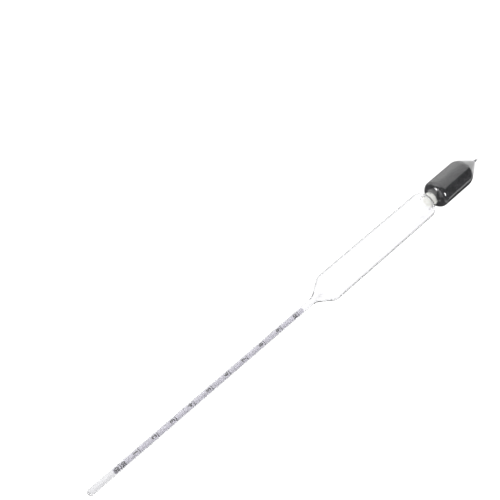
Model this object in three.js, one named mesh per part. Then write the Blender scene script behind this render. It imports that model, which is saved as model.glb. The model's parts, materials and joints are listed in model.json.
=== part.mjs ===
// A glass brewing hydrometer, standing upright as it floats.
// Millimetres, +Z up along the stem, origin at the drawn point under the ballast bulb.
// The envelope is one run of lamp-worked glass. Each section of it is a separate solid here, and
// neighbouring sections stop just short of each other where the real glass is fused.

import * as THREE from "three";

// ---- driving dimensions ----------------------------------------------------------------------

const TOTAL_LENGTH = 330;
const FUSED_GAP = 0.2; // between two sections that are fused on the real object
const SEGMENTS = 32; // round a section, divisible by four so that its box is the true diameter
const CURVE_STEPS = 5; // along each curved stretch of a profile

const STEM = { radius: 1.8, bore: 1.6, footZ: 168.4 };

const FLOAT = {
  radius: 8.6,
  wall: 0.7,
  baseZ: 57.2,
  baseRound: { radial: 4, axial: 5 },
  flareSlope: 0.57, // radius lost per millimetre of height on the straight of the flare
  flareZ: 152.5, // where that straight, carried on, meets the cylinder
  shoulder: 1.3, // half height of the round between cylinder and flare
  tail: 3, // half height of the round between flare and stem
};

const NECK = {
  radius: FLOAT.radius - FLOAT.baseRound.radial,
  wall: 0.9,
  rootFlare: 0.5, // how far the neck spreads where it meets the float and the bulb
  rootHeight: 2,
};

const BULB = {
  radius: 8.93,
  wall: 0.8,
  topZ: 49.4,
  topRound: { radial: 4.33, axial: 3.1 },
  coneSlope: 0.545, // radius gained per millimetre of height
  coneApexZ: 3.65,
  shoulder: 1.2, // half height of the round between cone and cylinder
};

const TIP = { topZ: 5.7, pointRadius: 0.3, coneZ: 5.5, waist: { radius: 0.6, z: 4.75 } };

const PAPER = {
  baseZ: 174.9,
  topZ: 313.4,
  radius: 1.56,
  thickness: 0.1,
  lap: 0.14, // share of a turn by which the sheet laps over itself
  lapClearance: 0.03,
  steps: 36, // round the roll
};

const BEAD = { length: 1.8, clearance: 0.07, crown: 0.3 };
const PLUG = { baseZ: 53.2, topZ: 59.2, crown: 0.7, clearance: 0.15 };
const FILL = { baseZ: 6.3, clearance: 0.15, gapUnderPlug: 0.2 };

const NECK_BORE = NECK.radius - NECK.wall;

// ---- materials --------------------------------------------------------------------------------

function material(name, color, roughness, metalness = 0, opacity = 1) {
  const transparent = opacity < 1;
  return new THREE.MeshStandardMaterial({ name, color, roughness, metalness, opacity, transparent });
}

const clearGlass = material("clear_glass", 0xf4f7f8, 0.05, 0, 0.35);
const printedPaper = material("printed_paper", 0xdddbe6, 0.85);
const adhesive = material("adhesive", 0xe9e4d2, 0.5);
const wadding = material("wadding", 0xe2dfce, 0.95);
const ballastGrit = material("ballast_grit", 0x26262a, 0.7, 0.3);

// ---- profile helpers: every point is (radius, height) ------------------------------------------

function point(radius, z) {
  return new THREE.Vector2(radius, z);
}

// A quarter of an ellipse. It leaves its first point along the radius, or along the height.
function quarterRound(from, to, leaves) {
  const points = [];
  for (let i = 0; i <= CURVE_STEPS; i += 1) {
    const angle = (Math.PI / 2) * (i / CURVE_STEPS);
    const early = Math.sin(angle);
    const late = 1 - Math.cos(angle);
    const acrossShare = leaves === "radius" ? early : late;
    const upShare = leaves === "radius" ? late : early;
    points.push(point(
      from.x + (to.x - from.x) * acrossShare,
      from.y + (to.y - from.y) * upShare,
    ));
  }
  return points;
}

function roundedCorner(from, corner, to) {
  return new THREE.QuadraticBezierCurve(from, corner, to).getPoints(CURVE_STEPS);
}

// How much radius a wall of a given thickness takes up on a cone of this slope.
function coneInset(inset, slope) {
  return inset * Math.hypot(1, slope);
}

function turned(points) {
  const geometry = new THREE.LatheGeometry(points, SEGMENTS);
  geometry.rotateX(Math.PI / 2);
  return geometry;
}

// A tube's wall: up its outer profile, then back down its inner one.
function tubeWall(outer, inner) {
  return turned([...outer, ...inner.reverse(), outer[0].clone()]);
}

// ---- profiles of the float and the bulb, each also drawn inset by its wall ----------------------

function floatProfile(inset, topRadius) {
  const base = point(FLOAT.radius - FLOAT.baseRound.radial, FLOAT.baseZ + inset);
  const side = point(FLOAT.radius - inset, FLOAT.baseZ + FLOAT.baseRound.axial);
  const coneShift = coneInset(inset, FLOAT.flareSlope);
  const cornerZ = FLOAT.flareZ - (coneShift - inset) / FLOAT.flareSlope;
  const tailZ = FLOAT.flareZ + (FLOAT.radius - coneShift - topRadius) / FLOAT.flareSlope;
  const top = STEM.footZ - FUSED_GAP / 2;
  return [
    point(NECK_BORE, base.y),
    ...quarterRound(base, side, "radius"),
    ...roundedCorner(
      point(side.x, cornerZ - FLOAT.shoulder),
      point(side.x, cornerZ),
      point(side.x - FLOAT.flareSlope * FLOAT.shoulder, cornerZ + FLOAT.shoulder),
    ),
    ...roundedCorner(
      point(topRadius + FLOAT.flareSlope * FLOAT.tail, tailZ - FLOAT.tail),
      point(topRadius, tailZ),
      point(topRadius, top),
    ),
  ];
}

function coneRadius(z, inset) {
  return BULB.coneSlope * (z - BULB.coneApexZ) - coneInset(inset, BULB.coneSlope);
}

function bulbProfile(inset, baseZ) {
  const side = BULB.radius - inset;
  const cornerZ = BULB.coneApexZ + (side + coneInset(inset, BULB.coneSlope)) / BULB.coneSlope;
  const shoulderZ = cornerZ - BULB.shoulder;
  return [
    point(coneRadius(baseZ, inset), baseZ),
    ...roundedCorner(
      point(coneRadius(shoulderZ, inset), shoulderZ),
      point(side, cornerZ),
      point(side, cornerZ + BULB.shoulder),
    ),
    ...quarterRound(
      point(side, BULB.topZ - BULB.topRound.axial),
      point(BULB.radius - BULB.topRound.radial, BULB.topZ - inset),
      "height",
    ),
  ];
}

// ---- the glass ---------------------------------------------------------------------------------

function stemTube() {
  const foot = STEM.footZ + FUSED_GAP / 2;
  const capZ = TOTAL_LENGTH - STEM.radius;
  const outer = [
    point(STEM.radius, foot),
    ...quarterRound(point(STEM.radius, capZ), point(0, TOTAL_LENGTH), "height"),
  ];
  const innerTop = TOTAL_LENGTH - (STEM.radius - STEM.bore);
  const inner = [
    ...quarterRound(point(0, innerTop), point(STEM.bore, innerTop - STEM.bore), "radius"),
    point(STEM.bore, foot),
  ];
  return turned([...outer, ...inner, outer[0].clone()]);
}

function floatTube() {
  return tubeWall(floatProfile(0, STEM.radius), floatProfile(FLOAT.wall, STEM.bore));
}

function neckTube() {
  const low = BULB.topZ + FUSED_GAP;
  const high = FLOAT.baseZ - FUSED_GAP;
  const root = NECK.radius + NECK.rootFlare;
  const outer = [
    ...quarterRound(point(root, low), point(NECK.radius, low + NECK.rootHeight), "radius"),
    ...quarterRound(point(NECK.radius, high - NECK.rootHeight), point(root, high), "height"),
  ];
  return tubeWall(outer, [point(NECK_BORE, low), point(NECK_BORE, high)]);
}

function ballastBulb() {
  const baseZ = TIP.topZ + FUSED_GAP;
  const outer = [...bulbProfile(0, baseZ), point(NECK_BORE, BULB.topZ)];
  const inner = [...bulbProfile(BULB.wall, baseZ), point(NECK_BORE, BULB.topZ - BULB.wall)];
  return tubeWall(outer, inner);
}

function drawnTip() {
  return turned([
    ...quarterRound(point(0, 0), point(TIP.pointRadius, TIP.pointRadius), "radius"),
    ...roundedCorner(
      point(TIP.pointRadius, TIP.pointRadius + FUSED_GAP),
      point(TIP.waist.radius, TIP.waist.z),
      point(coneRadius(TIP.coneZ, 0), TIP.coneZ),
    ),
    point(coneRadius(TIP.topZ, 0), TIP.topZ),
    point(0, TIP.topZ),
  ]);
}

// ---- what the glass holds ----------------------------------------------------------------------

const ROLL_PITCH = PAPER.thickness + PAPER.lapClearance; // radius gained in one turn of the sheet
const ROLL_BORE = PAPER.radius - ROLL_PITCH * (1 + PAPER.lap) - PAPER.thickness;

// The scale: a sheet rolled a little over one turn, with its lap at the back of the stem.
function scalePaper() {
  const sweep = 2 * Math.PI * (1 + PAPER.lap);
  const front = -Math.PI / 2; // the middle of the sheet faces -Y
  const start = front - sweep / 2;
  const outside = [];
  const inside = [];
  for (let i = 0; i <= PAPER.steps; i += 1) {
    const turn = sweep * (i / PAPER.steps);
    const radius = PAPER.radius - (ROLL_PITCH * (sweep - turn)) / (2 * Math.PI);
    const across = Math.cos(start + turn);
    const along = Math.sin(start + turn);
    outside.push(new THREE.Vector2(radius * across, radius * along));
    inside.push(new THREE.Vector2(
      (radius - PAPER.thickness) * across,
      (radius - PAPER.thickness) * along,
    ));
  }
  const section = new THREE.Shape([...outside, ...inside.reverse()]);
  const geometry = new THREE.ExtrudeGeometry(section, {
    depth: PAPER.topZ - PAPER.baseZ,
    bevelEnabled: false,
  });
  geometry.translate(0, 0, PAPER.baseZ);
  return geometry;
}

// The dab of adhesive in the foot of the roll, which keeps the scale where it was set.
function scaleAdhesive() {
  const radius = ROLL_BORE - BEAD.clearance;
  const low = PAPER.baseZ;
  const high = low + BEAD.length;
  return turned([
    ...quarterRound(point(0, low - BEAD.crown), point(radius, low), "radius"),
    ...quarterRound(point(radius, high), point(0, high + BEAD.crown), "height"),
  ]);
}

function neckPlug() {
  const radius = NECK_BORE - PLUG.clearance;
  return turned([
    point(0, PLUG.baseZ),
    point(radius, PLUG.baseZ),
    ...quarterRound(point(radius, PLUG.topZ - PLUG.crown), point(0, PLUG.topZ), "height"),
  ]);
}

function ballastFill() {
  const neckRadius = NECK_BORE - FILL.clearance;
  const topZ = PLUG.baseZ - FILL.gapUnderPlug;
  const body = bulbProfile(BULB.wall + FILL.clearance, FILL.baseZ);
  return turned([
    point(0, FILL.baseZ),
    ...body,
    point(neckRadius, body.at(-1).y),
    point(neckRadius, topZ),
    point(0, topZ),
  ]);
}

// ---- assembly ----------------------------------------------------------------------------------

const group = new THREE.Group();
group.name = "hydrometer";

function addPiece(name, geometry, surface) {
  const mesh = new THREE.Mesh(geometry, surface);
  mesh.name = name;
  group.add(mesh);
}

addPiece("stem_tube", stemTube(), clearGlass);
addPiece("float_tube", floatTube(), clearGlass);
addPiece("neck_tube", neckTube(), clearGlass);
addPiece("ballast_bulb", ballastBulb(), clearGlass);
addPiece("drawn_tip", drawnTip(), clearGlass);
addPiece("scale_paper", scalePaper(), printedPaper);
addPiece("scale_adhesive", scaleAdhesive(), adhesive);
addPiece("neck_plug", neckPlug(), wadding);
addPiece("ballast_fill", ballastFill(), ballastGrit);

export default group;
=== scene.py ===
"""A glass brewing hydrometer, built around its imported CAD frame.

Metres, +Z up along the stem, the drawn tip at the origin. The numerals face -Y.
Profiles are lists of (radius, height). MM turns the named sizes in millimetres into metres.
"""

import json
import math
import random

import bmesh
import bpy
from mathutils import Matrix, Vector, noise


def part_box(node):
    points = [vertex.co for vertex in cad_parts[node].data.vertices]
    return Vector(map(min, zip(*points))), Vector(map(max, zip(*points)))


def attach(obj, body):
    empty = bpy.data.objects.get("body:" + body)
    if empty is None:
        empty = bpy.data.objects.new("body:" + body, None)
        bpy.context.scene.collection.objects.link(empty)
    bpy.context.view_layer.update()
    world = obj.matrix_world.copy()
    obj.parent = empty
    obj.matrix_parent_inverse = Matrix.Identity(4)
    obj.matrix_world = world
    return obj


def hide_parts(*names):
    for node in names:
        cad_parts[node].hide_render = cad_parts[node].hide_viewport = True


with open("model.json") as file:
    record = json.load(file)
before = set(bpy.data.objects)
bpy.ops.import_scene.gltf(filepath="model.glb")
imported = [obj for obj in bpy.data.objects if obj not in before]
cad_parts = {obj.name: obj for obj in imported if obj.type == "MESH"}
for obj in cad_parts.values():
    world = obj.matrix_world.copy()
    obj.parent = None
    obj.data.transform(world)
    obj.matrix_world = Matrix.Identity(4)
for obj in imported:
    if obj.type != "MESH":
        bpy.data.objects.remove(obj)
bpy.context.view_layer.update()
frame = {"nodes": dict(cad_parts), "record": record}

MM = 0.001
TAU = 2 * math.pi
BODY = "root"

# ---- sizes that the frame gives ---------------------------------------------------------------


def radius_of(node):
    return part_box(node)[1].x


def low_of(node):
    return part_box(node)[0].z


def high_of(node):
    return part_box(node)[1].z


TOP_Z = high_of("stem_tube")
STEM_RADIUS = radius_of("stem_tube")
STEM_FOOT_Z = low_of("stem_tube")
FLOAT_RADIUS = radius_of("float_tube")
FLOAT_BASE_Z = low_of("float_tube")
BULB_RADIUS = radius_of("ballast_bulb")
BULB_TOP_Z = high_of("ballast_bulb")
TIP_TOP_Z = high_of("drawn_tip")
PAPER_LOW_Z = low_of("scale_paper")
PAPER_HIGH_Z = high_of("scale_paper")
PLUG_LOW_Z = low_of("neck_plug")
PLUG_HIGH_Z = high_of("neck_plug")
FILL_LOW_Z = low_of("ballast_fill")
FILL_TOP_Z = high_of("ballast_fill")
FLOAT_LINE_Z = frame["record"]["mounts"][0]["pos_m"][2]  # the 0 mark

# ---- sizes inside those boxes ------------------------------------------------------------------

# A round's pair of sizes is how far it reaches across and up.

STEM_BORE = 1.6 * MM
FLOAT_WALL = 0.7 * MM
FLOAT_BASE_ROUND = (4 * MM, 5 * MM)
FLARE_SLOPE = 0.57
FLARE_Z = 152.5 * MM
FLARE_SHOULDER = 1.3 * MM
FLARE_TAIL = 3 * MM
NECK_RADIUS = FLOAT_RADIUS - FLOAT_BASE_ROUND[0]
NECK_BORE = NECK_RADIUS - 0.9 * MM
NECK_ROOT = (1.1 * MM, 2.8 * MM)
INNER_ROOT = 0.6 * MM  # the same root inside the bulb's shoulder
FLOAT_FOOT_ROOT = 1.3 * MM  # and inside the float's base
BULB_WALL = 0.8 * MM
BULB_TOP_ROUND = (4.33 * MM, 3.1 * MM)
CONE_SLOPE = 0.545
CONE_APEX_Z = 3.65 * MM
CONE_SHOULDER = 2.2 * MM
CAVITY_ROUND = 0.8 * MM
TIP_POINT_RADIUS = 0.3 * MM
TIP_WAIST = (0.6 * MM, 4.75 * MM)  # a radius and a height
TIP_CONE_Z = 5.5 * MM

PAPER_RADIUS = 1.56 * MM
PAPER_THICKNESS = 0.1 * MM
PAPER_LAP = 0.14
PAPER_LAP_CLEARANCE = 0.03 * MM

CURVE_STEPS = 14
GLASS_SEGMENTS = 128
GLASS_STEP = 6 * MM

# ---- camera ---------------------------------------------------------------------------------------

CAMERA_PLACE = Vector((43.60, -462.29, 450.32)) * MM
CAMERA_AIM = Vector((43.91, -5.90, 180.85)) * MM
CAMERA_ROLL = math.radians(-128.02)
CAMERA_LENS = 70
CAMERA_SENSOR = 36


def make_camera():
    data = bpy.data.cameras.new("camera")
    data.lens = CAMERA_LENS
    data.sensor_width = CAMERA_SENSOR
    data.clip_start = 0.01
    data.clip_end = 50
    camera = bpy.data.objects.new("camera", data)
    bpy.context.scene.collection.objects.link(camera)
    aim = (CAMERA_AIM - CAMERA_PLACE).to_track_quat("-Z", "Y").to_matrix()
    roll = Matrix.Rotation(CAMERA_ROLL, 3, "Z")
    camera.matrix_world = Matrix.Translation(CAMERA_PLACE) @ (aim @ roll).to_4x4()
    bpy.context.scene.camera = camera


# ---- node helpers -----------------------------------------------------------------------------


def feed(tree, socket, value):
    if isinstance(value, bpy.types.NodeSocket):
        tree.links.new(value, socket)
    else:
        socket.default_value = value


def add_node(tree, kind, inputs, **settings):
    """A node with its settings made, and its inputs set or linked by name or number."""
    made = tree.nodes.new(kind)
    for name, value in settings.items():
        setattr(made, name, value)
    for name, value in inputs.items():
        feed(tree, made.inputs[name], value)
    return made


def calculate(tree, operation, first, second=0.0, third=0.0):
    inputs = {0: first, 1: second, 2: third}
    return add_node(tree, "ShaderNodeMath", inputs, operation=operation).outputs[0]


def fade(tree, value, start, end):
    """0 below start and 1 above end, smooth between them."""
    inputs = {"Value": value, "From Min": start, "From Max": end}
    made = add_node(tree, "ShaderNodeMapRange", inputs, interpolation_type="SMOOTHSTEP")
    return made.outputs["Result"]


def blend(tree, share, first, second):
    made = add_node(tree, "ShaderNodeMix", {"Factor": share, "A": first, "B": second})
    return made.outputs["Result"]


def blend_color(tree, share, first, second):
    inputs = {"Factor": share, 6: first, 7: second}
    return add_node(tree, "ShaderNodeMix", inputs, data_type="RGBA").outputs[2]


def ramp(tree, share, stops):
    """A colour ramp. Each stop is (position, colour)."""
    made = add_node(tree, "ShaderNodeValToRGB", {"Fac": share})
    elements = made.color_ramp.elements
    while len(elements) < len(stops):
        elements.new(0.5)
    for element, (position, color) in zip(elements, stops):
        element.position = position
        element.color = (*color, 1)
    return made.outputs["Color"]


def stretched_place(tree, scale):
    """The place on the piece, scaled so that a texture can be drawn out along an axis."""
    place = add_node(tree, "ShaderNodeTexCoord", {}).outputs["Object"]
    return add_node(tree, "ShaderNodeMapping", {"Vector": place, "Scale": scale}).outputs["Vector"]


def height_on_axis(tree):
    place = add_node(tree, "ShaderNodeTexCoord", {}).outputs["Object"]
    return add_node(tree, "ShaderNodeSeparateXYZ", {"Vector": place}).outputs["Z"]


def noise_texture(tree, place, scale, detail=3.0):
    inputs = {"Vector": place, "Scale": scale, "Detail": detail}
    return add_node(tree, "ShaderNodeTexNoise", inputs).outputs["Fac"]


def bump(tree, height, strength, distance):
    inputs = {"Height": height, "Strength": strength, "Distance": distance}
    return add_node(tree, "ShaderNodeBump", inputs).outputs["Normal"]


def new_material(name, **inputs):
    """A material with one Principled shader. Returns the material, its tree and the shader."""
    material = bpy.data.materials.new(name)
    material.use_nodes = True
    tree = material.node_tree
    surface = tree.nodes["Principled BSDF"]
    for key, value in inputs.items():
        surface.inputs[key.replace("_", " ")].default_value = value
    return material, tree, surface


# ---- materials ---------------------------------------------------------------------------------

# Texture scales, per metre.
STRIAE = 260
PAPER_CLOUDS = 900
PAPER_FIBRES = 9000
INK_PATCHES = 4000
ADHESIVE_CLOUDS = 1500
WADDING_FIBRES = 2600
WADDING_STREAKS = 1100
GRIT_CELLS = 2300
GRIT_TOOTH = 3000

# Where each tint of the glass comes in, as the height where it starts and the one where it is full.
STEM_TINTS = (STEM_FOOT_Z - 8 * MM, STEM_FOOT_Z + 2 * MM)
CLEAR_END_TINTS = (PAPER_HIGH_Z - 1 * MM, PAPER_HIGH_Z + 2 * MM)
CAP_TINTS = (TOP_Z - 1.6 * MM, TOP_Z - 0.2 * MM)
# The tip's dark tint is painted shade: it stands in for the dark ballast seen through the solid
# glass point.
PAINTED_TIP_SHADE_TINTS = (TIP_TOP_Z + 2 * MM, TIP_TOP_Z - 1 * MM)
POINT_TINTS = (0.5 * MM, 4.5 * MM)  # upward from the very point, which is clear

GLASS_IOR = 1.5
GLASS_ABSORPTION = 34  # per metre
COAT_ROUGHNESS = 0.15  # spreads the lamps' highlights enough to be seen
STRIAE_STRETCH = (1, 1, 0.08)  # drawn out along the tube
# The stem's grey tint is greyest in the clear end above the paper.
LEAST_STEM_GREY = 0.3  # in the stem, as a share of that in its clear end
STEM_GREY = (0.78, 0.78, 0.79)
CAP_GLASS = (0.7, 0.7, 0.71, 1)
PAINTED_TIP_SHADE = (0.1, 0.1, 0.11, 1)


def glass_material():
    """Clear drawn glass with faint striae along the tube. It is tinted greyer along the stem, most
    in its clear end above the paper and at its cap. At the tip it has painted shade, a dark tint
    standing in for the ballast seen through the solid point, and the very point stays clear.
    """
    material, tree, surface = new_material(
        "clear_glass", Roughness=0.0, IOR=GLASS_IOR, Transmission_Weight=1.0,
        Coat_Weight=1.0, Coat_Roughness=COAT_ROUGHNESS, Coat_IOR=GLASS_IOR,
    )
    striae = noise_texture(tree, stretched_place(tree, STRIAE_STRETCH), STRIAE, 2)
    height = height_on_axis(tree)
    stem = fade(tree, height, *STEM_TINTS)
    cap = fade(tree, height, *CAP_TINTS)
    clear_end = fade(tree, height, *CLEAR_END_TINTS)
    # The stem is tinted grey, more in its clear end, and unevenly along the striae.
    stem_grey_share = calculate(tree, "MULTIPLY_ADD", clear_end, 1 - LEAST_STEM_GREY, LEAST_STEM_GREY)
    uneven = calculate(tree, "MULTIPLY", stem_grey_share, calculate(tree, "ADD", striae, 0.4))
    stem_grey_mask = calculate(tree, "MULTIPLY", stem, uneven)
    tint = ramp(tree, stem_grey_mask, [(0.0, (0.99, 0.99, 1.0)), (1.0, STEM_GREY)])
    tint = blend_color(tree, cap, tint, CAP_GLASS)
    # Painted shade at the tip: a dark tint standing in for the ballast seen through the solid point,
    # left off at the very point.
    above_point = fade(tree, height, *POINT_TINTS)
    tip = calculate(tree, "MULTIPLY", fade(tree, height, *PAINTED_TIP_SHADE_TINTS), above_point)
    tint = blend_color(tree, tip, tint, PAINTED_TIP_SHADE)
    feed(tree, surface.inputs["Base Color"], tint)
    feed(tree, surface.inputs["Normal"], bump(tree, striae, 0.05, 0.1 * MM))
    inside = tree.nodes.new("ShaderNodeVolumeAbsorption")
    inside.inputs["Color"].default_value = (0.02, 0.0, 0.06, 1)
    inside.inputs["Density"].default_value = GLASS_ABSORPTION
    output = tree.nodes["Material Output"]
    tree.links.new(inside.outputs["Volume"], output.inputs["Volume"])
    return material


def paper_material():
    """Lavender-white paper: cloudy formation, fine fibres and a matt tooth."""
    material, tree, surface = new_material("printed_paper", Roughness=0.85)
    clouds = noise_texture(tree, stretched_place(tree, (1, 1, 0.4)), PAPER_CLOUDS, 4)
    tint = ramp(tree, clouds, [(0.3, (0.575, 0.56, 0.63)), (0.7, (0.63, 0.615, 0.675))])
    fibres = noise_texture(tree, stretched_place(tree, (1, 1, 0.25)), PAPER_FIBRES, 2)
    feed(tree, surface.inputs["Base Color"], tint)
    feed(tree, surface.inputs["Normal"], bump(tree, fibres, 0.3, 0.02 * MM))
    return material


def ink_material():
    """Black print, a little uneven where the paper took less ink."""
    material, tree, surface = new_material("scale_ink", Roughness=0.7)
    coverage = noise_texture(tree, stretched_place(tree, (1, 1, 1)), INK_PATCHES, 3)
    tint = ramp(tree, coverage, [(0.35, (0.004, 0.004, 0.006)), (0.75, (0.03, 0.028, 0.04))])
    feed(tree, surface.inputs["Base Color"], tint)
    return material


def adhesive_material():
    """A dried dab of adhesive, cloudy and slightly glossy."""
    material, tree, surface = new_material("adhesive", Roughness=0.4)
    clouds = noise_texture(tree, stretched_place(tree, (1, 1, 1)), ADHESIVE_CLOUDS, 3)
    tint = ramp(tree, clouds, [(0.3, (0.55, 0.51, 0.40)), (0.7, (0.72, 0.69, 0.58))])
    feed(tree, surface.inputs["Base Color"], tint)
    feed(tree, surface.inputs["Normal"], bump(tree, clouds, 0.4, 0.1 * MM))
    return material


# Below the plug's foot the fibre turns near black to dark brown, fully by 1.6 mm down.
DARK_FAN_START_Z = PLUG_LOW_Z - 0.7 * MM
DARK_FAN_END_Z = PLUG_LOW_Z - 1.6 * MM


def wadding_material():
    """Packed cream fibre with darker gaps, coloured near black to dark brown below the plug, where
    it fans out over the ballast.
    """
    material, tree, surface = new_material(
        "wadding", Roughness=0.95, Sheen_Weight=0.3, Sheen_Roughness=0.6
    )
    strands = noise_texture(tree, stretched_place(tree, (1, 1, 0.2)), WADDING_FIBRES, 5)
    cream = ramp(tree, strands, [
        (0.25, (0.85, 0.84, 0.77)),
        (0.5, (0.93, 0.93, 0.88)),
        (0.8, (0.95, 0.95, 0.93)),
    ])
    # Near black to dark brown for the strands below the plug.
    streaks = noise_texture(tree, stretched_place(tree, (1, 1, 0.3)), WADDING_STREAKS, 2)
    dark_fan = ramp(tree, streaks, [(0.4, (0.006, 0.0055, 0.005)), (0.66, (0.06, 0.055, 0.045))])
    height = height_on_axis(tree)
    dark_fan_share = fade(tree, height, DARK_FAN_START_Z, DARK_FAN_END_Z)
    feed(tree, surface.inputs["Base Color"], blend_color(tree, dark_fan_share, cream, dark_fan))
    feed(tree, surface.inputs["Normal"], bump(tree, strands, 0.5, 0.1 * MM))
    return material


# The grit is painted lighter from here down to the drawn tip: a painted reflection of the bright
# table under the cone.
PAINTED_REFLECTION_FROM_Z = TIP_TOP_Z + 7 * MM
PAINTED_REFLECTION_SHARE = 0.75
PAINTED_REFLECTION_GRIT = (0.30, 0.30, 0.32, 1)


def grit_material():
    """Near-black grit, each grain its own dark grey, painted lighter towards the drawn tip: a
    painted reflection of the bright table under the cone.
    """
    material, tree, surface = new_material("ballast_grit", Roughness=0.65)
    place = stretched_place(tree, (1, 1, 1))
    inputs = {"Vector": place, "Scale": GRIT_CELLS}
    cells = add_node(tree, "ShaderNodeTexVoronoi", inputs).outputs["Color"]
    shade = add_node(tree, "ShaderNodeSeparateColor", {"Color": cells}).outputs["Red"]
    tint = ramp(tree, shade, [
        (0.0, (0.002, 0.002, 0.003)),
        (0.55, (0.006, 0.006, 0.008)),
        (0.8, (0.022, 0.022, 0.026)),
        (1.0, (0.085, 0.085, 0.095)),
    ])
    # Painted reflection: lighter grit towards the drawn tip stands in for the bright table mirrored
    # under the cone.
    height = height_on_axis(tree)
    painted_reflection = calculate(tree, "MULTIPLY", fade(tree, height, PAINTED_REFLECTION_FROM_Z, TIP_TOP_Z), PAINTED_REFLECTION_SHARE)
    feed(tree, surface.inputs["Base Color"], blend_color(tree, painted_reflection, tint, PAINTED_REFLECTION_GRIT))
    grain = noise_texture(tree, place, GRIT_TOOTH, 3)
    feed(tree, surface.inputs["Normal"], bump(tree, grain, 0.6, 0.08 * MM))
    return material


# ---- mesh helpers -----------------------------------------------------------------------------


def finish_piece(name, bm, material, slot, *replaced):
    """Turns the work into a piece that rides on the one body and stands for the CAD nodes."""
    mesh = bpy.data.meshes.new(name)
    bm.to_mesh(mesh)
    bm.free()
    mesh.shade_smooth()
    mesh.set_sharp_from_angle(angle=math.radians(50))
    mesh.materials.append(material)
    piece = bpy.data.objects.new(name, mesh)
    bpy.context.scene.collection.objects.link(piece)
    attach(piece, BODY)
    if replaced:
        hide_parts(*replaced)
    return piece


def quarter_round(start, end, leaves):
    """A quarter of an ellipse, leaving its first point along the "radius" or the "height"."""
    points = []
    for i in range(CURVE_STEPS + 1):
        angle = math.pi / 2 * i / CURVE_STEPS
        early, late = math.sin(angle), 1 - math.cos(angle)
        across, up = (early, late) if leaves == "radius" else (late, early)
        points.append((
            start[0] + (end[0] - start[0]) * across,
            start[1] + (end[1] - start[1]) * up,
        ))
    return points


def rounded_corner(start, corner, end):
    points = []
    for i in range(CURVE_STEPS + 1):
        t = i / CURVE_STEPS
        a, b, c = (1 - t) ** 2, 2 * t * (1 - t), t * t
        points.append((
            a * start[0] + b * corner[0] + c * end[0],
            a * start[1] + b * corner[1] + c * end[1],
        ))
    return points


def evenly_spaced(profile, step):
    """The profile with every stretch longer than step cut into equal shorter ones."""
    points = [profile[0]]
    for start, end in zip(profile, profile[1:]):
        count = math.ceil(math.dist(start, end) / step)
        for i in range(1, count + 1):
            points.append((
                start[0] + (end[0] - start[0]) * i / count,
                start[1] + (end[1] - start[1]) * i / count,
            ))
    return points


def ring_of(bm, radius, z, segments):
    if radius < 1e-7:
        return [bm.verts.new((0, 0, z))]
    angles = [TAU * i / segments for i in range(segments)]
    return [bm.verts.new((radius * math.cos(a), radius * math.sin(a), z)) for a in angles]


def add_turned(bm, profile, segments, inward=False):
    """Adds a closed body of revolution. The profile runs up from pole to pole."""
    kept = [profile[0]]
    for place in profile[1:]:
        if math.dist(place, kept[-1]) > 1e-6:
            kept.append(place)
    rings = [ring_of(bm, radius, z, segments) for radius, z in kept]
    for low, high in zip(rings, rings[1:]):
        for i in range(segments):
            j = i + 1
            around = (
                low[i % len(low)],
                low[j % len(low)] if j < segments else low[0],
                high[j % len(high)] if j < segments else high[0],
                high[i % len(high)],
            )
            corners = list(dict.fromkeys(around))
            bm.faces.new(reversed(corners) if inward else corners)


# ---- the glass ----------------------------------------------------------------------------------


def cone_inset(inset, slope):
    """How much radius a wall takes up on a cone of this slope."""
    return inset * math.hypot(1, slope)


def cone_radius(z, inset):
    return CONE_SLOPE * (z - CONE_APEX_Z) - cone_inset(inset, CONE_SLOPE)


def bulb_side(inset):
    """From the cone's shoulder up to the bulb's top shoulder."""
    side = BULB_RADIUS - inset
    corner_z = CONE_APEX_Z + (side + cone_inset(inset, CONE_SLOPE)) / CONE_SLOPE
    shoulder_z = corner_z - CONE_SHOULDER
    return [
        *rounded_corner(
            (cone_radius(shoulder_z, inset), shoulder_z),
            (side, corner_z),
            (side, corner_z + CONE_SHOULDER),
        ),
        *quarter_round(
            (side, BULB_TOP_Z - BULB_TOP_ROUND[1]),
            (BULB_RADIUS - BULB_TOP_ROUND[0], BULB_TOP_Z - inset),
            "height",
        ),
    ]


def float_side(inset, top_radius):
    """From the float's rounded base up through the flare to the stem."""
    side = FLOAT_RADIUS - inset
    shift = cone_inset(inset, FLARE_SLOPE)
    corner_z = FLARE_Z - (shift - inset) / FLARE_SLOPE
    tail_z = FLARE_Z + (FLOAT_RADIUS - shift - top_radius) / FLARE_SLOPE
    return [
        *quarter_round(
            (NECK_RADIUS, FLOAT_BASE_Z + inset),
            (side, FLOAT_BASE_Z + FLOAT_BASE_ROUND[1]),
            "radius",
        ),
        *rounded_corner(
            (side, corner_z - FLARE_SHOULDER),
            (side, corner_z),
            (side - FLARE_SLOPE * FLARE_SHOULDER, corner_z + FLARE_SHOULDER),
        ),
        *rounded_corner(
            (top_radius + FLARE_SLOPE * FLARE_TAIL, tail_z - FLARE_TAIL),
            (top_radius, tail_z),
            (top_radius, tail_z + FLARE_TAIL),
        ),
    ]


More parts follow.
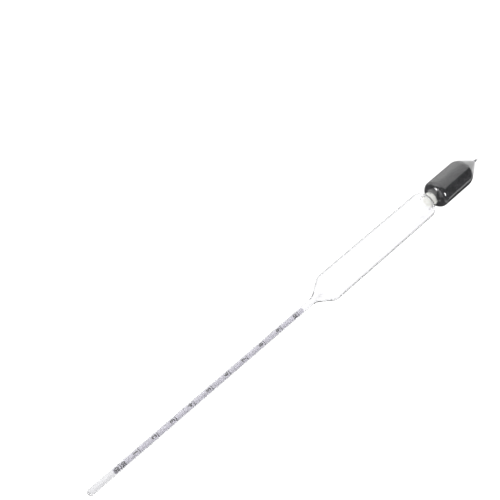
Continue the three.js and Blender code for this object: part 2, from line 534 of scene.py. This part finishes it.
def outer_glass():
    """From the point to the stem's cap. The shoulders give way to the neck's roots near the neck."""
    root_radius = NECK_RADIUS + NECK_ROOT[0]
    return [
        *quarter_round((0, 0), (TIP_POINT_RADIUS, TIP_POINT_RADIUS), "radius"),
        *rounded_corner(
            (TIP_POINT_RADIUS, TIP_POINT_RADIUS),
            TIP_WAIST,
            (cone_radius(TIP_CONE_Z, 0), TIP_CONE_Z),
        ),
        *bulb_side(0)[:-3],
        *quarter_round(
            (root_radius, BULB_TOP_Z),
            (NECK_RADIUS, BULB_TOP_Z + NECK_ROOT[1]),
            "radius",
        ),
        *quarter_round(
            (NECK_RADIUS, FLOAT_BASE_Z - NECK_ROOT[1]),
            (root_radius, FLOAT_BASE_Z),
            "height",
        ),
        *float_side(0, STEM_RADIUS)[3:],
        *quarter_round((STEM_RADIUS, TOP_Z - STEM_RADIUS), (0, TOP_Z), "height"),
    ]


def bulb_cavity(inset):
    """The cavity's rounded bottom, its cone, its cylinder and its top shoulder."""
    round_z = FILL_LOW_Z + CAVITY_ROUND
    bottom = quarter_round((0, FILL_LOW_Z), (cone_radius(round_z, inset), round_z), "radius")
    return [*bottom, *bulb_side(inset)[:-1]]


def inner_glass():
    """The hollow, from the cone up to the stem's cap, with a root at each end of the neck."""
    stem_cap = STEM_RADIUS - STEM_BORE
    low = BULB_TOP_Z - BULB_WALL
    high = FLOAT_BASE_Z + FLOAT_WALL
    return [
        *bulb_cavity(BULB_WALL)[:-2],
        *quarter_round((NECK_BORE + INNER_ROOT, low), (NECK_BORE, low + INNER_ROOT), "radius"),
        *quarter_round(
            (NECK_BORE, high - FLOAT_FOOT_ROOT),
            (NECK_BORE + FLOAT_FOOT_ROOT, high),
            "height",
        ),
        *float_side(FLOAT_WALL, STEM_BORE)[3:],
        *quarter_round((STEM_BORE, TOP_Z - stem_cap - STEM_BORE), (0, TOP_Z - stem_cap), "height"),
    ]


def make_glass():
    """The whole envelope: one outer skin, and one inner skin that faces the sealed hollow."""
    bm = bmesh.new()
    add_turned(bm, evenly_spaced(outer_glass(), GLASS_STEP), GLASS_SEGMENTS)
    add_turned(bm, evenly_spaced(inner_glass(), GLASS_STEP), GLASS_SEGMENTS, inward=True)
    piece = finish_piece(
        "glass_envelope", bm, glass_material(), "clear_glass",
        "stem_tube", "float_tube", "neck_tube", "ballast_bulb", "drawn_tip",
    )
    piece.visible_shadow = False
    return piece


# ---- the scale -----------------------------------------------------------------------------------

ROLL_PITCH = PAPER_THICKNESS + PAPER_LAP_CLEARANCE
ROLL_SWEEP = TAU * (1 + PAPER_LAP)
ROLL_STEPS = 180
ROLL_LEVELS = 28


def paper_face(angle):
    """The paper's outer radius, at an angle from the front that grows towards +X."""
    return PAPER_RADIUS - ROLL_PITCH * (ROLL_SWEEP / 2 - angle) / TAU


def on_roll(angle, radius, z):
    return Vector((radius * math.sin(angle), -radius * math.cos(angle), z))


def make_paper():
    """One sheet rolled a little over a turn, with its lap at the back of the stem."""
    bm = bmesh.new()
    angles = [ROLL_SWEEP * (i / ROLL_STEPS - 0.5) for i in range(ROLL_STEPS + 1)]
    section = [(a, paper_face(a)) for a in angles]
    section += [(a, paper_face(a) - PAPER_THICKNESS) for a in reversed(angles)]
    levels = [
        PAPER_LOW_Z + (PAPER_HIGH_Z - PAPER_LOW_Z) * i / ROLL_LEVELS
        for i in range(ROLL_LEVELS + 1)
    ]
    loops = [[bm.verts.new(on_roll(a, r, z)) for a, r in section] for z in levels]
    count = len(section)
    for low, high in zip(loops, loops[1:]):
        for i in range(count):
            j = (i + 1) % count
            bm.faces.new((low[i], low[j], high[j], high[i]))
    for i in range(ROLL_STEPS):
        outside, inside = (i, i + 1), (count - 2 - i, count - 1 - i)
        for loop, flip in ((loops[0], True), (loops[-1], False)):
            corners = [loop[outside[0]], loop[outside[1]], loop[inside[0]], loop[inside[1]]]
            bm.faces.new(reversed(corners) if flip else corners)
    finish_piece("scale_roll", bm, paper_material(), "printed_paper", "scale_paper")


INK_DEPTH = 0.01 * MM
TICK_HEIGHT = 0.46 * MM
FINE_TICK_HEIGHT = 0.2 * MM
TICK_SPAN = (math.radians(-76), math.radians(66))
HALF_TICK_SPAN = (math.radians(42), math.radians(66))
FINE_TICK_SPAN = (math.radians(-62), math.radians(-40))
LAST_MARK = 10
FIRST_INTERVAL = 12.15 * MM  # from one mark to the next at the top of the scale
INTERVAL_GROWTH = 0.092 * MM  # how the marks spread towards the denser end
NUMERAL_HEIGHT = 3.0 * MM
NUMERAL_WIDTH = 1.75 * MM
NUMERAL_GAP = 0.85 * MM
NUMERAL_ANGLE = math.radians(22)
SECOND_DIGIT_ANGLE = math.radians(-32)
PERCENT_WIDTH = 1.1 * MM
HEADING_DROP = 3.2 * MM  # from the 0 mark down to the foot of the 20
HEADING_HEIGHT = 2.6 * MM
HEADING_WIDTH = 1.4 * MM
GLYPH_CUT = 0.12 * MM
GLYPH_WEIGHT = 0.055  # added to each side of a stroke, in the font's own units
PERCENT_WEIGHT = 0.03  # less, because its two rings are small
GLYPH_CURVE_STEPS = 3


def mark_z(value):
    return FLOAT_LINE_Z - FIRST_INTERVAL * value - INTERVAL_GROWTH * value * value


def add_tick(bm, z, height, span):
    """A thin curved plate of ink on the paper."""
    steps = max(2, round((span[1] - span[0]) / math.radians(6)))
    angles = [span[0] + (span[1] - span[0]) * i / steps for i in range(steps + 1)]
    rings = []
    for a in angles:
        inside, outside = paper_face(a) - INK_DEPTH, paper_face(a) + INK_DEPTH
        corners = ((inside, -1), (outside, -1), (outside, 1), (inside, 1))
        rings.append([bm.verts.new(on_roll(a, r, z + side * height / 2)) for r, side in corners])
    for near, far in zip(rings, rings[1:]):
        for i in range(4):
            j = (i + 1) % 4
            bm.faces.new((near[i], near[j], far[j], far[i]))
    bm.faces.new(reversed(rings[0]))
    bm.faces.new(rings[-1])


def glyph_shape(text):
    """A character of the built-in font as a closed slab, one unit deep either way."""
    curve = bpy.data.curves.new("glyph", "FONT")
    curve.body = text
    curve.resolution_u = GLYPH_CURVE_STEPS
    curve.extrude = 1
    curve.offset = PERCENT_WEIGHT if text == "%" else GLYPH_WEIGHT
    holder = bpy.data.objects.new("glyph", curve)
    bpy.context.scene.collection.objects.link(holder)
    drawn = holder.evaluated_get(bpy.context.evaluated_depsgraph_get())
    mesh = bpy.data.meshes.new_from_object(drawn)
    bpy.data.objects.remove(holder)
    bm = bmesh.new()
    bm.from_mesh(mesh)
    bpy.data.meshes.remove(mesh)
    bmesh.ops.remove_doubles(bm, verts=bm.verts, dist=1e-5)
    return bm


def glyph_box(bm):
    xs = [v.co.x for v in bm.verts]
    ys = [v.co.y for v in bm.verts]
    return min(xs), max(xs), min(ys), max(ys)


def add_glyph(bm, text, angle, base_z, height, width):
    """A character bent onto the paper. height and width are those of the figure 0."""
    measure = glyph_shape("0")
    left, right, low, high = glyph_box(measure)
    measure.free()
    across, up, base = width / (right - left), height / (high - low), low
    shape = glyph_shape(text)
    left, right, low, high = glyph_box(shape)
    centre = (left + right) / 2
    cuts = math.ceil((right - left) * across / GLYPH_CUT)
    for i in range(1, cuts):
        geometry = [*shape.verts, *shape.edges, *shape.faces]
        place = (left + (right - left) * i / cuts, 0, 0)
        bmesh.ops.bisect_plane(shape, geom=geometry, plane_co=place, plane_no=(1, 0, 0))
    for vertex in shape.verts:
        x, y, depth = vertex.co
        turn = angle + (x - centre) * across / paper_face(angle)
        radius = paper_face(turn) + math.copysign(INK_DEPTH, depth)
        vertex.co = on_roll(turn, radius, base_z + (y - base) * up)
    mesh = bpy.data.meshes.new("glyph")
    shape.to_mesh(mesh)
    shape.free()
    bm.from_mesh(mesh)
    bpy.data.meshes.remove(mesh)


def make_print():
    """Ticks, numerals and a plain heading: the figure 0, a percent sign and the figure 20."""
    bm = bmesh.new()
    for tenth in range(LAST_MARK * 10 + 1):
        z = mark_z(tenth / 10)
        if tenth % 10 == 0:
            add_tick(bm, z, TICK_HEIGHT, TICK_SPAN)
        else:
            add_tick(bm, z, FINE_TICK_HEIGHT, FINE_TICK_SPAN)
        if tenth % 10 == 5:
            add_tick(bm, z, FINE_TICK_HEIGHT, HALF_TICK_SPAN)
    for value in range(LAST_MARK + 1):
        for digit, angle in zip(reversed(str(value)), (NUMERAL_ANGLE, SECOND_DIGIT_ANGLE)):
            base = mark_z(value) + NUMERAL_GAP
            add_glyph(bm, digit, angle, base, NUMERAL_HEIGHT, NUMERAL_WIDTH)
    base = mark_z(0) + NUMERAL_GAP
    add_glyph(bm, "%", SECOND_DIGIT_ANGLE, base, NUMERAL_HEIGHT, PERCENT_WIDTH)
    base = mark_z(0) - HEADING_DROP
    for digit, angle in (("2", SECOND_DIGIT_ANGLE), ("0", NUMERAL_ANGLE)):
        add_glyph(bm, digit, angle, base, HEADING_HEIGHT, HEADING_WIDTH)
    finish_piece("scale_print", bm, ink_material(), "printed_paper")


def finish_adhesive():
    """The dab that holds the roll keeps its CAD shape."""
    adhesive = frame["nodes"]["scale_adhesive"]
    adhesive.data.materials.clear()
    adhesive.data.materials.append(adhesive_material())


# ---- irregular things inside the glass -----------------------------------------------------------


def add_strand(bm, places, radius):
    """A closed four-sided thread through the places."""
    rings = []
    for i, place in enumerate(places):
        before, after = places[max(i - 1, 0)], places[min(i + 1, len(places) - 1)]
        along = (after - before).normalized()
        side = along.orthogonal().normalized()
        other = along.cross(side)
        rings.append([
            bm.verts.new(place + radius * (side * math.cos(a) + other * math.sin(a)))
            for a in (0, TAU / 4, TAU / 2, TAU * 3 / 4)
        ])
    for near, far in zip(rings, rings[1:]):
        for i in range(4):
            j = (i + 1) % 4
            bm.faces.new((near[i], near[j], far[j], far[i]))
    bm.faces.new(reversed(rings[0]))
    bm.faces.new(rings[-1])


def roughen(bm, scale, height):
    """Moves every vertex along its normal by smooth noise."""
    bm.normal_update()
    moves = [v.normal * (noise.noise(v.co * scale) * height) for v in bm.verts]
    for vertex, move in zip(bm.verts, moves):
        vertex.co += move


CONTACT = 0.06 * MM  # how far packed filling presses past the glass's inner skin, so no air shows
PLUG_SEED = 7
PLUG_SEGMENTS = 96
PLUG_STEP = 0.25 * MM
PLUG_CROWN = 1.2 * MM
PLUG_LUMPS = (1400, 0.25 * MM)  # noise scale and height
RAGGED_BAND = 0.3 * MM  # of the plug's foot that hangs down unevenly
RAGGED_SCALE = 900
RAGGED_DROP = 1.1 * MM
RAGGED_BIAS = 0.35

LOOSE_DEPTH = 2.6 * MM  # how much of the plug's top is loose fibre
LOOSE_STRANDS = 260
LOOSE_START = 0.9  # share of the bore in which they start
LOOSE_LIMIT = 0.96  # share of the bore in which they stay
LOOSE_RISE = 0.7 * MM
LOOSE_MOST_RISE = 2.4 * MM
LOOSE_BEND = 1.5  # radians, along a whole strand
LOOSE_PLACES = 7
LOOSE_STEP = 0.35 * MM
LOOSE_SLOPE = (-0.35, 0.25)
LOOSE_RADIUS = (0.02 * MM, 0.045 * MM)

FAN_STRANDS = 150
FAN_STEP = 0.3 * MM
FAN_START_Z = PLUG_LOW_Z + 0.8 * MM
FAN_DRIFT = 0.035  # radians for each step
FAN_LEAST_STEPS = 6
FAN_MORE_STEPS = 9
FAN_PRESS = (0.08 * MM, 0.16 * MM)
FAN_RADIUS = (0.05 * MM, 0.13 * MM)


def add_top_strands(bm, rng):
    """Short bent fibres, loose on the plug's crown and fewer the higher they lie."""
    for _ in range(LOOSE_STRANDS):
        angle = rng.uniform(0, TAU)
        reach = NECK_BORE * LOOSE_START * math.sqrt(rng.random())
        crown_z = PLUG_HIGH_Z - LOOSE_DEPTH - 0.6 * PLUG_CROWN * (reach / NECK_BORE) ** 2
        z = crown_z + min(rng.expovariate(1 / LOOSE_RISE), LOOSE_MOST_RISE)
        heading = rng.uniform(0, TAU)
        bend = rng.uniform(-LOOSE_BEND, LOOSE_BEND)
        places = [Vector((reach * math.cos(angle), reach * math.sin(angle), z))]
        for i in range(LOOSE_PLACES):
            turn = heading + bend * i / (LOOSE_PLACES - 1)
            step = Vector((math.cos(turn), math.sin(turn), rng.uniform(*LOOSE_SLOPE))) * LOOSE_STEP
            moved = places[-1] + step
            if math.hypot(moved.x, moved.y) > NECK_BORE * LOOSE_LIMIT:
                break
            places.append(moved)
        if len(places) > 2:
            add_strand(bm, places, rng.uniform(*LOOSE_RADIUS))


def fan_route():
    """Down the neck's inner skin from inside the plug, and out under most of the bulb's shoulder."""
    low = BULB_TOP_Z - BULB_WALL
    foot = quarter_round((NECK_BORE + INNER_ROOT, low), (NECK_BORE, low + INNER_ROOT), "radius")
    shoulder = bulb_side(BULB_WALL)[CURVE_STEPS + 1:-1]
    upward = [*shoulder[4:-1], *foot, (NECK_BORE, FAN_START_Z)]
    return evenly_spaced(list(reversed(upward)), FAN_STEP)


def add_fan_strands(bm, rng):
    """Fibres that hang from the plug and spread over the ballast, pressed against the glass."""
    route = fan_route()
    for _ in range(FAN_STRANDS):
        angle = rng.uniform(0, TAU)
        drift = rng.uniform(-FAN_DRIFT, FAN_DRIFT)
        last = min(len(route), FAN_LEAST_STEPS + int(rng.expovariate(1 / FAN_MORE_STEPS)))
        press = rng.uniform(*FAN_PRESS)
        places = []
        for i, (radius, z) in enumerate(route[:last]):
            turn = angle + drift * i
            across = radius + press
            places.append(Vector((across * math.cos(turn), across * math.sin(turn), z)))
        add_strand(bm, places, rng.uniform(*FAN_RADIUS))


def plug_profile():
    radius = NECK_BORE + CONTACT
    top_z = PLUG_HIGH_Z - LOOSE_DEPTH
    return [
        (0, PLUG_LOW_Z),
        (radius, PLUG_LOW_Z),
        *quarter_round((radius, top_z - PLUG_CROWN), (0, top_z), "height"),
    ]


def make_plug():
    """Packed cream wadding, with loose strands on top and a fan of them under the neck."""
    rng = random.Random(PLUG_SEED)
    bm = bmesh.new()
    add_turned(bm, evenly_spaced(plug_profile(), PLUG_STEP), PLUG_SEGMENTS)
    roughen(bm, *PLUG_LUMPS)
    for vertex in bm.verts:
        if vertex.co.z < PLUG_LOW_Z + RAGGED_BAND:
            vertex.co.z -= (RAGGED_BIAS + noise.noise(vertex.co * RAGGED_SCALE)) * RAGGED_DROP
    add_top_strands(bm, rng)
    add_fan_strands(bm, rng)
    finish_piece("neck_wadding", bm, wadding_material(), "wadding", "neck_plug")


BALLAST_SEED = 11
BALLAST_SEGMENTS = 160
BALLAST_STEP = 0.4 * MM
BALLAST_LUMPS = (3200, 0.07 * MM)  # noise scale and height
BALLAST_TAPER = 0.2 * MM  # at the top, where it meets the plug
GRAINS = 5200
GRAIN_SIZE = (0.08 * MM, 0.2 * MM)
GRAIN_FACES = (
    (0, 2, 4), (2, 1, 4), (1, 3, 4), (3, 0, 4),
    (2, 0, 5), (1, 2, 5), (3, 1, 5), (0, 3, 5),
)


def add_grain(bm, centre, size, rng):
    """An uneven octahedron."""
    spin = Matrix.Rotation(rng.uniform(0, TAU), 3, Vector([rng.uniform(-1, 1) for _ in range(3)]))
    ends = []
    for axis in range(3):
        for sign in (1, -1):
            out = Vector((0, 0, 0))
            out[axis] = sign * size * rng.uniform(0.6, 1.1)
            ends.append(bm.verts.new(centre + spin @ out))
    for corners in GRAIN_FACES:
        bm.faces.new([ends[i] for i in corners])


def fill_profile():
    radius = NECK_BORE + CONTACT
    return [
        *bulb_cavity(BULB_WALL - CONTACT),
        (radius, BULB_TOP_Z),
        (radius - BALLAST_TAPER, FILL_TOP_Z),
        (0, FILL_TOP_Z),
    ]


def make_ballast():
    """A rough core with loose grains pressed on it, filling the bulb and the neck's foot."""
    rng = random.Random(BALLAST_SEED)
    bm = bmesh.new()
    profile = evenly_spaced(fill_profile(), BALLAST_STEP)
    add_turned(bm, profile, BALLAST_SEGMENTS)
    roughen(bm, *BALLAST_LUMPS)
    sides = [(a, b) for a, b in zip(profile, profile[1:]) if b[1] > a[1]]
    weights = [math.dist(a, b) * (a[0] + b[0]) for a, b in sides]
    for start, end in rng.choices(sides, weights, k=GRAINS):
        share = rng.random()
        radius = start[0] + (end[0] - start[0]) * share
        z = start[1] + (end[1] - start[1]) * share
        angle = rng.uniform(0, TAU)
        centre = Vector((radius * math.cos(angle), radius * math.sin(angle), z))
        add_grain(bm, centre, rng.uniform(*GRAIN_SIZE), rng)
    finish_piece("ballast_grains", bm, grit_material(), "ballast_grit", "ballast_fill")


# ---- stage ---------------------------------------------------------------------------------------

FLOOR_HALF = 12
SOFT_LIGHT = 2.35
PALE_BACKGROUND = 1.1
FLOOR_SHADE = 0.3
FLOOR_GLOW = 0.56  # with the light that falls on it, this makes the floor an even white

# What polished glass mirrors, by azimuth from -Y, in degrees towards +X: a white table on the +X
# side that falls off towards the back, and a dark room on the -X side.
TABLE_GLOW = (
    (-180, 0.04),
    (-114, 0.04),
    (-110, 0.75),
    (-95, 0.75),
    (-90, 0.09),
    (-9, 0.09),
    (-2, 1.1),
    (30, 1.25),
    (82, 1.55),
    (110, 1.1),
    (140, 0.5),
    (179, 0.25),
)
GLOW_SCALE = 2
ROOM_GLOW = 0.06
UNDER_GLOW = 1.0
# A direction is a unit vector. The glow from below is centred on one that leans by UNDER_LEAN. The
# table's light stops at a height that is the lesser of two lines, each given as its slope and its
# height at 0, and over that is the dim room.
UNDER_LEAN = 0.25
UNDER_FADE = (0.88, 0.98)
SIDE_EDGE = (2.6, -0.345)  # against the distance from the YZ plane
BACK_EDGE = (-0.87, 0.86)  # against Y
EDGE_SOFTNESS = 0.04
LAMPS = (  # the way to each lamp, and how wide it looks from the object
    (Vector((0.193, 0.245, 0.950)), math.radians(10)),
    (Vector((-0.528, -0.565, 0.634)), math.radians(16)),
)
LAMP_STRENGTH = 22


def make_world():
    """Soft white light all round. Only mirror reflections see the table and the dark room."""
    world = bpy.data.worlds.new("studio")
    world.use_nodes = True
    tree = world.node_tree
    way = add_node(tree, "ShaderNodeTexCoord", {}).outputs["Generated"]
    parts = add_node(tree, "ShaderNodeSeparateXYZ", {"Vector": way}).outputs
    toward = calculate(tree, "MULTIPLY", parts["Y"], -1.0)
    azimuth = calculate(tree, "ARCTAN2", parts["X"], toward)
    share = calculate(tree, "ADD", calculate(tree, "DIVIDE", azimuth, TAU), 0.5)
    stops = [((a + 180) / 360, (glow / GLOW_SCALE,) * 3) for a, glow in TABLE_GLOW]
    table = calculate(tree, "MULTIPLY", ramp(tree, share, stops), float(GLOW_SCALE))
    lean = calculate(tree, "MULTIPLY", parts["Y"], UNDER_LEAN)
    depth = calculate(tree, "SUBTRACT", lean, parts["Z"])
    below = blend(tree, fade(tree, depth, *UNDER_FADE), table, UNDER_GLOW)
    aside = calculate(tree, "ABSOLUTE", parts["X"])
    side_edge = calculate(tree, "MULTIPLY_ADD", aside, *SIDE_EDGE)
    back_edge = calculate(tree, "MULTIPLY_ADD", parts["Y"], *BACK_EDGE)
    edge = calculate(tree, "MINIMUM", side_edge, back_edge)
    over = calculate(tree, "SUBTRACT", parts["Z"], edge)
    mirror = blend(tree, fade(tree, over, -EDGE_SOFTNESS, EDGE_SOFTNESS), below, ROOM_GLOW)
    path = add_node(tree, "ShaderNodeLightPath", {}).outputs
    straight = calculate(tree, "MAXIMUM", path["Is Camera Ray"], path["Is Transmission Ray"])
    light = blend(tree, straight, SOFT_LIGHT, PALE_BACKGROUND)
    reflected = calculate(tree, "SUBTRACT", path["Is Glossy Ray"], path["Is Transmission Ray"])
    strength = blend(tree, reflected, light, mirror)
    feed(tree, tree.nodes["Background"].inputs["Color"], (1, 1, 1, 1))
    feed(tree, tree.nodes["Background"].inputs["Strength"], strength)
    bpy.context.scene.world = world


def make_lamps(glass):
    """Two far lamps that light only the glass, where they show as highlights."""
    lit = bpy.data.collections.new("lit_by_lamps")
    lit.objects.link(glass)
    for i, (toward, size) in enumerate(LAMPS):
        data = bpy.data.lights.new(f"lamp_{i + 1}", "SUN")
        data.energy = LAMP_STRENGTH * size * size
        data.angle = size
        data.cycles.max_bounces = 0
        lamp = bpy.data.objects.new(f"lamp_{i + 1}", data)
        lamp.rotation_euler = toward.to_track_quat("Z", "Y").to_euler()
        lamp.visible_transmission = False
        lamp.light_linking.receiver_collection = lit
        bpy.context.scene.collection.objects.link(lamp)


def make_floor():
    material, _, surface = new_material("floor", Roughness=0.9, Emission_Strength=FLOOR_GLOW)
    surface.inputs["Emission Color"].default_value = (1, 1, 1, 1)
    surface.inputs["Specular IOR Level"].default_value = 0
    material.cycles.emission_sampling = "NONE"
    surface.inputs["Base Color"].default_value = (FLOOR_SHADE, FLOOR_SHADE, FLOOR_SHADE, 1)
    bm = bmesh.new()
    bmesh.ops.create_grid(bm, x_segments=1, y_segments=1, size=FLOOR_HALF)
    mesh = bpy.data.meshes.new("floor")
    bm.to_mesh(mesh)
    bm.free()
    mesh.materials.append(material)
    floor = bpy.data.objects.new("floor", mesh)
    bpy.context.scene.collection.objects.link(floor)
    floor.visible_glossy = False


def set_light_paths():
    cycles = bpy.context.scene.cycles
    cycles.max_bounces = 24
    cycles.transmission_bounces = 24
    cycles.glossy_bounces = 16
    cycles.transparent_max_bounces = 16
    cycles.use_denoising = True
    bpy.context.scene.view_settings.view_transform = "Standard"


# ---- the whole ------------------------------------------------------------------------------------

make_camera()
make_world()
make_floor()
make_lamps(make_glass())
make_paper()
make_print()
make_plug()
make_ballast()
finish_adhesive()
set_light_paths()
